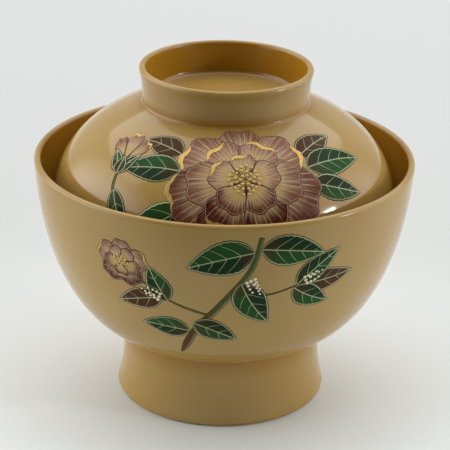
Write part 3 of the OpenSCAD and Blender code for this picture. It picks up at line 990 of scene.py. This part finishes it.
class PaintBowl(bpy.types.Operator):
    """Paint the stem, the leaves, a small blossom and tufts of ivory drops on the bowl"""

    bl_idname = "soup_bowl.paint_bowl"
    bl_label = "Paint the bowl"

    def execute(self, context):
        paint = context.scene.paint_finish
        make_drop_paint(IVORY_DROPS, paint.ivory, paint.gold, 0.4)
        surface = painting_surface("bowl_outer_coat")
        canvas = Canvas(surface, BOWL_CENTRE, BOWL_CANVAS_RADIUS, *BOWL_PLACE)
        painted("bowl_stems", STEM, "bowl", canvas, paint_stems, BOWL_STEMS)
        painted("bowl_leaves", LEAF, "bowl", canvas, paint_leaves, BOWL_LEAVES)
        paint_flower("blossom", "bowl", canvas, BLOSSOM, BLOSSOM_RINGS, BLOSSOM_TURNS,
                     BLOSSOM, BLOSSOM_TUFT)
        bm = bmesh.new()
        for x, y, heading in IVORY_TUFTS:
            along, side = direction(heading), direction(heading + 90)
            for row in range(-1, 2):
                for step in range(IVORY_ROW - abs(row)):
                    drift = IVORY_DRIFT * sin(7 * step + 3 * row)
                    spot = Vector((x, y)) + along * (step * IVORY_STEP + drift)
                    spot += side * (row * IVORY_ROW_STEP + drift)
                    radius = (IVORY_RADIUS - IVORY_SHRINK * step) * MM
                    paint_drop(bm, canvas, spot.x * MM, spot.y * MM, radius, IVORY_LIFT * MM)
        finished("ivory_drops", bm, IVORY_DROPS, "bowl")
        return {"FINISHED"}


FLOOR_RADIUS, FLOOR_SIDES = 2.5, 96
# Where each painted shade of the floor (metres from the axis) and each wall of the room (parts of a
# direction) begins and is whole
FAR_FLOOR_SHADE = {"From Min": -0.12, "From Max": 0.14}
FRONT_FLOOR_SHADE = {"From Min": -0.27, "From Max": -0.06}
LEFT_WALL = {"From Min": -0.65, "From Max": -0.95}
RIGHT_WALL = {"From Min": 0.65, "From Max": 0.95}
ROOM_BACK = {"From Min": -0.6, "From Max": 0.2}
DARK_SIDE = 0.01  # brightness of the room behind the camera
SENSOR_WIDTH = 36
CAMERA_PITCH, CAMERA_YAW, CAMERA_ROLL = 0.4006, 0.0011, 0.0212  # radians, as the bowl was photographed


def lay_floor(scene, studio):
    """Lays the table top: palest round the bowl; grey in front of it, a painted shadow of the camera
    which darkens the front of the lacquer; and a little darker at the back, painted shade where it is lit
    more."""
    bm = bmesh.new()
    bmesh.ops.create_circle(bm, cap_ends=True, segments=FLOOR_SIDES, radius=FLOOR_RADIUS)
    mesh = bpy.data.meshes.new("floor")
    bm.to_mesh(mesh)
    bm.free()
    floor = bpy.data.objects.new("floor", mesh)
    add, shader, place = new_material(TABLE_TOP)
    depth = add("ShaderNodeSeparateXYZ", {0: place}).outputs["Y"]
    # Painted shade at the back, where the floor is lit more
    far = add(MAP_RANGE, {"Value": depth, **FAR_FLOOR_SHADE})
    paper = add(MIX, {SHARE: far, UNDER: studio.floor, OVER: studio.floor_far_shade})
    # Painted shadow of the camera on the front of the floor
    front = add(MAP_RANGE, {"Value": depth, **FRONT_FLOOR_SHADE})
    paper = add(MIX, {SHARE: front, UNDER: studio.floor_front_shade, OVER: paper})
    set_inputs(shader, {"Base Color": paper, "Roughness": 0.8, "Specular IOR Level": 0})
    mesh.materials.append(bpy.data.materials[TABLE_TOP])
    scene.collection.objects.link(floor)


def soft_light(name, place, target, width, height, power):
    """A rectangular soft box that faces its target."""
    light = bpy.data.lights.new(name, "AREA")
    light.shape, light.size, light.size_y, light.energy = "RECTANGLE", width, height, power
    box = bpy.data.objects.new(name, light)
    box.location = place
    box.rotation_euler = (Vector(target) - Vector(place)).to_track_quat("-Z", "Y").to_euler()
    bpy.context.scene.collection.objects.link(box)


def light_room(scene, studio):
    """Makes the pale room, darker on the camera's side and lit softly on the left and the right."""
    world = bpy.data.worlds.new("pale room")
    world.use_nodes = True
    add = partial(add_node, world.node_tree)
    place = add("ShaderNodeTexCoord").outputs["Generated"]
    x, y, _ = add("ShaderNodeSeparateXYZ", {0: place}).outputs
    back = add(MAP_RANGE, {"Value": y, **ROOM_BACK, "To Min": DARK_SIDE, "To Max": studio.room})
    left = add(MAP_RANGE, {"Value": x, **LEFT_WALL, "To Max": studio.left_wall})
    right = add(MAP_RANGE, {"Value": x, **RIGHT_WALL, "To Max": studio.right_wall})
    walls = add(MATH, {0: left, 1: right}, operation="ADD")
    room = add(MATH, {0: walls, 1: back}, operation="ADD")
    set_inputs(world.node_tree.nodes["Background"], {"Strength": room, "Color": (1, 1, 1, 1)})
    scene.world = world
    scene.view_settings.view_transform = "Standard"


def camera_matrix(studio):
    """The camera's place and turn: looking down at the bowl, very slightly rolled."""
    right = Vector((cos(CAMERA_YAW), -sin(CAMERA_YAW), 0))
    level = Vector((sin(CAMERA_YAW), cos(CAMERA_YAW), 0))
    ahead = level * cos(CAMERA_PITCH) - Vector((0, 0, sin(CAMERA_PITCH)))
    up = level * sin(CAMERA_PITCH) + Vector((0, 0, cos(CAMERA_PITCH)))
    rolled_right = right * cos(CAMERA_ROLL) + up * sin(CAMERA_ROLL)
    rolled_up = up * cos(CAMERA_ROLL) - right * sin(CAMERA_ROLL)
    turn = Matrix((rolled_right, rolled_up, -ahead)).transposed().to_4x4()
    return Matrix.Translation((0, -studio.camera_distance, studio.camera_height)) @ turn


class SetStudio(bpy.types.Operator):
    """Lay the pale floor, hang the soft lights, tone the room and place the camera"""

    bl_idname = "soup_bowl.set_studio"
    bl_label = "Set the studio"

    def execute(self, context):
        scene, studio = context.scene, context.scene.studio_settings
        lay_floor(scene, studio)
        soft_light("overhead", place=(0, 1.5, 2), target=(0, 1.5, 0),
                   width=4.6, height=3.6, power=studio.overhead_power)
        soft_light("low lamp", place=(0.876, -0.237, 0.33), target=(0.03, -0.04, 0.08),
                   width=0.14, height=0.045, power=studio.lamp_power)
        light_room(scene, studio)
        camera = bpy.data.cameras.new("camera")
        camera.lens, camera.sensor_width = studio.focal_length, SENSOR_WIDTH
        eye = bpy.data.objects.new("camera", camera)
        eye.matrix_world = camera_matrix(studio)
        scene.collection.objects.link(eye)
        scene.camera = eye
        return {"FINISHED"}


class SoupBowlPanel(bpy.types.Panel):
    """Lists the steps that make the soup bowl"""

    bl_idname = "VIEW3D_PT_soup_bowl"
    bl_label = "Soup bowl"
    bl_space_type = "VIEW_3D"
    bl_region_type = "UI"
    bl_category = "Soup bowl"

    def draw(self, context):
        for operator in OPERATORS:
            self.layout.operator(operator.bl_idname)
        for group in GROUPS:
            box = self.layout.box()
            settings = getattr(context.scene, group)
            for name in settings.bl_rna.properties.keys():
                if name not in ("rna_type", "name"):
                    box.prop(settings, name)


OPERATORS = (TurnBowl, TurnLid, PaintLid, PaintBowl, SetStudio)
CLASSES = (*GROUPS.values(), *OPERATORS, SoupBowlPanel)


def register():
    """Adds the classes and the settings to Blender."""
    for cls in CLASSES:
        bpy.utils.register_class(cls)
    for name, group in GROUPS.items():
        setattr(bpy.types.Scene, name, PointerProperty(type=group))


def unregister():
    """Takes the settings and the classes out again."""
    for name in GROUPS:
        delattr(bpy.types.Scene, name)
    for cls in reversed(CLASSES):
        bpy.utils.unregister_class(cls)


def main():
    """Makes the bowl and its studio."""
    register()
    bpy.ops.soup_bowl.turn_bowl()
    bpy.ops.soup_bowl.turn_lid()
    bpy.ops.soup_bowl.paint_lid()
    bpy.ops.soup_bowl.paint_bowl()
    bpy.ops.soup_bowl.set_studio()


if __name__ == "__main__":
    main()
